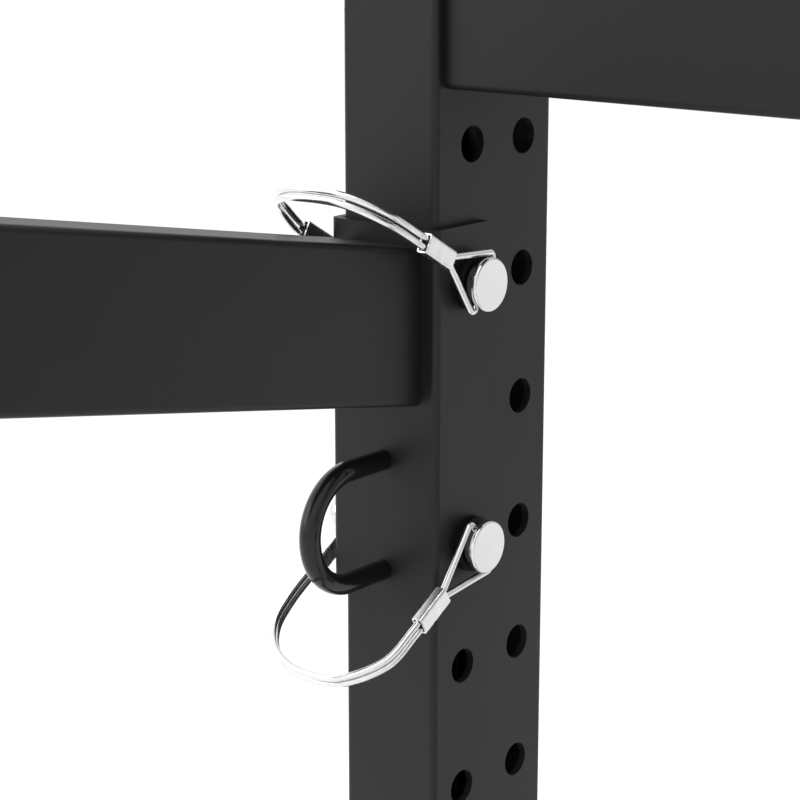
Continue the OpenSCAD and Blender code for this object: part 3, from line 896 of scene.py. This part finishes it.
def make_bolts(node, material):
    """Hexagon bolts with chamfered heads and rounded thread ends, in place of the CAD node's."""
    inside = BOLT_HEAD - 0.5 * MM
    parts = []
    for lo, hi in loose_parts(node):
        way, axis = outward(lo, hi)
        centre = (lo + hi) / 2
        end = centre.copy()
        end[axis] = hi[axis] if way[axis] > 0 else lo[axis]
        length = (hi - lo)[axis]
        parts.append(hex_head(end - way * BOLT_HEAD, way, BOLT_FLATS, BOLT_HEAD))
        corners = [(inside, 0), (inside, BOLT_R), (length, BOLT_R), (length, 0)]
        parts.append(lathe(end, -way, rounded_profile(corners, [0, 0, THREAD_END, 0], 3), 24))
    piece(f"chamfered_{node}", joined(parts), material, "frame", [node])


def make_washers(material):
    """Washers with rounded edges, in place of the CAD node's."""
    parts = []
    for lo, hi in loose_parts("frame_washers"):
        size = hi - lo
        axis = min(range(3), key=lambda i: size[i])
        way = Vector((0, 0, 0))
        way[axis] = 1
        origin = (lo + hi) / 2
        origin[axis] = lo[axis]
        parts.append(flat_ring(origin, way, (size[axis], max(size) / 2, WASHER_BORE),
                               [0, WASHER_EDGE, WASHER_EDGE, 0.6 * WASHER_EDGE, 0], steps=3, sides=40))
    piece("rounded_frame_washers", joined(parts), material, "frame", ["frame_washers"])


# ---------------------------------------------------------------- caps


def crowned_cap(place, w, h, thick):
    """Moulded tube cap with a rounded rim and a slightly crowned top.

    place turns (across, along, out) into a point."""
    shoulder = thick - CAP_CROWN - CAP_RIM
    levels = [(0, 0), (0, shoulder)]
    steps = 5
    for k in range(1, steps + 1):
        a = math.pi / 2 * k / steps
        levels.append((CAP_RIM * (1 - math.cos(a)), shoulder + CAP_RIM * math.sin(a)))
    for s in (0.15, 0.35, 0.6, 0.8):
        levels.append((CAP_RIM + (w / 2 - CAP_RIM) * s, thick - CAP_CROWN * (1 - s) ** 2))
    loops = []
    for inset, out in levels:
        corner = max(TUBE_CORNER - inset, CAP_CORNER)
        outline = rounded_outline(w - 2 * inset, h - 2 * inset, corner)
        loops.append([place(x, y, out) for x, y in outline])
    return loft(loops)


def make_upright_caps(material):
    caps = []
    for side in SIDES:
        for end in ("front", "rear"):
            lo, hi = (Vector(v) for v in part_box(f"upright_{end}_{side}"))
            centre = (lo + hi) / 2
            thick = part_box("upright_caps")[1][2] - hi.z
            caps.append(crowned_cap(lambda x, y, up: Vector((centre.x + x, centre.y + y, hi.z + up)),
                                    hi.x - lo.x, hi.y - lo.y, thick))
    piece("crowned_upright_caps", joined(caps), material, "frame", ["upright_caps"])


def make_arm_caps(material):
    rise = math.radians(ARM_RISE)
    along = Vector((0, -math.cos(rise), math.sin(rise)))
    up = Vector((0, math.sin(rise), math.cos(rise)))
    caps = []
    for side in SIDES:
        bracket = middle(f"arm_bracket_{side}")
        foot = Vector((bracket.x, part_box(f"arm_bracket_{side}")[0][1], bracket.z + ARM_UP))
        end = foot + along * (ARM_LEN - ARM_CAP_T)
        caps.append(crowned_cap(lambda x, y, out: end + ACROSS * x + up * y + along * out,
                                ARM_W, ARM_H, ARM_CAP_T))
    piece("crowned_arm_caps", joined(caps), material, "frame", ["arm_caps"])


# ---------------------------------------------------------------- bar hooks


class HookPlace:
    """Places points given from the upright's middle at the hook's pivot: across, rear and up."""

    def __init__(self, side):
        peg = middle(f"hook_peg_{side}")
        post = middle(f"upright_front_{side}")
        self.origin = Vector((post.x, post.y, peg.z))
        self.sign = 1 if side == "left" else -1
        self.body = f"bar_hook_{side}"
        self.peg_y = peg.y - post.y

    def at(self, across, rear, up):
        return self.origin + Vector((self.sign * across, rear, up))

    def shifted(self, across):
        """Place for eased_plate(), for a plate that starts that far across."""
        return lambda out, rear, up: self.at(across + out, rear, up)


def hook_outline():
    """Back plate, tray and front lip, bent from one plate."""
    inner, outer, rim = 3 * MM, 9 * MM, 1.2 * MM
    back, front = -HOOK_BACK, -HOOK_BACK - HOOK_CUP - 2 * HOOK_T
    tip = -HOOK_DROP + HOOK_LIP + HOOK_T
    return rounded_polygon([
        (back, -HOOK_TOP, rim), (back, -HOOK_DROP, outer), (front, -HOOK_DROP, outer),
        (front, tip, rim), (front + HOOK_T, tip, rim), (front + HOOK_T, -HOOK_DROP + HOOK_T, inner),
        (back - HOOK_T, -HOOK_DROP + HOOK_T, inner), (back - HOOK_T, -HOOK_TOP, rim),
    ])


def cheek_outline(peg_y):
    """Side plate of the hook, with a round eye at the pivot."""
    front, corner = -HOOK_BACK - HOOK_T, 3 * MM
    rear = peg_y + HOOK_EYE
    outline = rounded_polygon([
        (peg_y - HOOK_EYE, 0, 0), (peg_y - HOOK_EYE, -HOOK_TOP, corner), (front, -HOOK_TOP, corner),
        (front, -HOOK_DROP, corner), (rear, -HOOK_DROP, corner), (rear, 0, 0),
    ])
    steps = 24
    eye = [math.pi * k / steps for k in range(1, steps)]
    return outline + [(peg_y + HOOK_EYE * math.cos(a), HOOK_EYE * math.sin(a)) for a in eye]


def liner_outline():
    """Plastic liner over the hook's back, tray and lip."""
    bend, inner, rim = 3 * MM, 4 * MM, 2 * MM
    back, front = -HOOK_BACK - HOOK_T, -HOOK_BACK - HOOK_T - HOOK_CUP
    floor, short = -HOOK_DROP + HOOK_T, 4 * MM
    tip = floor + HOOK_LIP - short
    return rounded_polygon([
        (back, -HOOK_TOP - short, 0.5 * MM), (back, floor, bend), (front, floor, bend),
        (front, tip, 0.5 * MM), (front + LINER_T, tip, rim), (front + LINER_T, floor + LINER_T, inner),
        (back - LINER_T, floor + LINER_T, inner), (back - LINER_T, -HOOK_TOP - short, rim),
    ])


def make_hook(side, materials):
    place = HookPlace(side)
    recess = 0.1 * MM
    tray = eased_plate(hook_outline(), place.shifted(recess - HOOK_SIDE), HOOK_WIDE - recess, 0.7 * MM)
    cheek = eased_plate(cheek_outline(place.peg_y), place.shifted(-HOOK_SIDE), HOOK_T, 0.7 * MM)
    piece(f"bent_hook_{side}", joined([tray, cheek]), materials["frame_paint"], place.body,
          [f"hook_{side}"])
    margin = 1 * MM
    liner = eased_plate(liner_outline(), place.shifted(margin - HOOK_SIDE),
                        HOOK_WIDE - 2 * margin, 1.2 * MM)
    piece(f"eased_hook_liner_{side}", liner, materials["liner_plastic"], place.body,
          [f"hook_liner_{side}"])
    start, proud = -HOOK_SIDE, 0.8 * MM
    corners = [(start - proud, 0), (start - proud, SHAFT_R - 0.6 * MM), (start, SHAFT_R),
               (PEG_TIP - 3 * MM, SHAFT_R), (PEG_TIP, SHAFT_R - 2.5 * MM), (PEG_TIP, 0)]
    radii = [0, 0.6 * MM, 0.2 * MM, 1 * MM, 0.8 * MM, 0]
    peg = lathe(place.at(0, place.peg_y, 0), place.sign * ACROSS, rounded_profile(corners, radii))
    piece(f"turned_hook_peg_{side}", peg, materials["pin_steel"], place.body,
          [f"hook_peg_{side}"])


# ---------------------------------------------------------------- safety pins and welds


def make_safety_pins(material):
    """Turned pins with domed heads, and tapered tips that find the holes."""
    pins = []
    for lo, hi in loose_parts("safety_pins"):
        centre = (lo + hi) / 2
        sign = 1 if centre.x < 0 else -1
        tip, head = sorted((sign * lo.x, sign * hi.x))
        neck = head - SAFETY_HEAD_T
        corners = [(tip, 0), (tip, SHAFT_R - 2 * MM), (tip + 3 * MM, SHAFT_R), (neck, SHAFT_R),
                   (neck, HEAD_R), (head, HEAD_R), (head, 0)]
        radii = [0, 0.8 * MM, 1 * MM, 0, 0.6 * MM, 2 * MM, 0]
        pins.append(lathe(Vector((0, centre.y, centre.z)), sign * ACROSS,
                          rounded_profile(corners, radii)))
    piece("turned_safety_pins", joined(pins), material, "frame", ["safety_pins"])


def bead(path):
    """Weld bead: a thin bar with scallops where the puddle stopped."""
    return sweep(path, BEAD_R, BEAD_SIDES, ripple=(SCALLOP_DEPTH, SCALLOP_APART))


def resampled(points, step):
    """The same line with points at most a step apart."""
    made = []
    for a, b in zip(points, points[1:]):
        count = max(1, math.ceil((b - a).length / step))
        made += [a.lerp(b, k / count) for k in range(count)]
    return made + [points[-1]]


def make_foot_welds(material):
    """Bead round the foot of each upright, on its plate."""
    beads = []
    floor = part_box("foot_plates")[1][2] + BEAD_OFF
    for side in SIDES:
        for end in ("front", "rear"):
            lo, hi = (Vector(v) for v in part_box(f"upright_{end}_{side}"))
            centre = (lo + hi) / 2
            outline = rounded_outline(hi.x - lo.x + 2 * BEAD_OFF, hi.y - lo.y + 2 * BEAD_OFF,
                                      TUBE_CORNER + BEAD_OFF)
            line = [Vector((centre.x + x, centre.y + y, floor)) for x, y in outline + outline[:1]]
            beads.append(bead(resampled(line, BEAD_STEP)))
    piece("foot_weld_beads", joined(beads), material, "frame")


def make_bar_welds(material):
    """Bead round each end of the pull-up bar, on its flange."""
    beads = []
    lo, hi = (Vector(v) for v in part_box("pull_up_bar"))
    centre = (lo + hi) / 2
    r = (hi.z - lo.z) / 2 + BEAD_OFF
    turn = [2 * math.pi * k / BAR_BEAD_STEPS for k in range(BAR_BEAD_STEPS + 1)]
    for x in (lo.x + BEAD_OFF, hi.x - BEAD_OFF):
        beads.append(bead([Vector((x, centre.y + r * math.cos(a), centre.z + r * math.sin(a)))
                           for a in turn]))
    piece("pull_up_weld_beads", joined(beads), material, "frame")


# ---------------------------------------------------------------- carried-over CAD nodes


def material_of(node):
    """Material of a CAD node that is kept, by its name."""
    if "liner" in node:
        return "liner_plastic"
    if "pads" in node:
        return "rubber"
    return "frame_paint"


def finish_cad_nodes(materials):
    """Puts each kept CAD node's material in its slots."""
    for name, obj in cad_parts.items():
        for slot in obj.material_slots:
            slot.material = materials[material_of(name)]


# ---------------------------------------------------------------- the scene

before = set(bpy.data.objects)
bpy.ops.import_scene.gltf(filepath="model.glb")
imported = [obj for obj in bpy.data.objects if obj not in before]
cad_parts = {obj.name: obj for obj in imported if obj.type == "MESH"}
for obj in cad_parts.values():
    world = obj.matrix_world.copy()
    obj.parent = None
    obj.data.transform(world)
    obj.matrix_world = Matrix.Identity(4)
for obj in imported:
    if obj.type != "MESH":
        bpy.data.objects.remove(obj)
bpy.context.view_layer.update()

bpy.context.scene.view_settings.view_transform = "Standard"
make_camera()
make_world()
make_lights()
make_floor()

materials = make_materials()
finish_cad_nodes(materials)
make_lock_pins(materials)
for side in SIDES:
    band_ring(side, materials["smooth_coat"])
    make_hook(side, materials)
make_collars(materials["collar_coat"])
make_upright_caps(materials["cap_plastic"])
make_arm_caps(materials["cap_plastic"])
make_safety_pins(materials["pin_steel"])
make_foot_welds(materials["frame_paint"])
make_bar_welds(materials["frame_paint"])
for node in ("crossmember_bolts", "rail_bolts"):
    make_bolts(node, materials["bolt_steel"])
make_washers(materials["bolt_steel"])
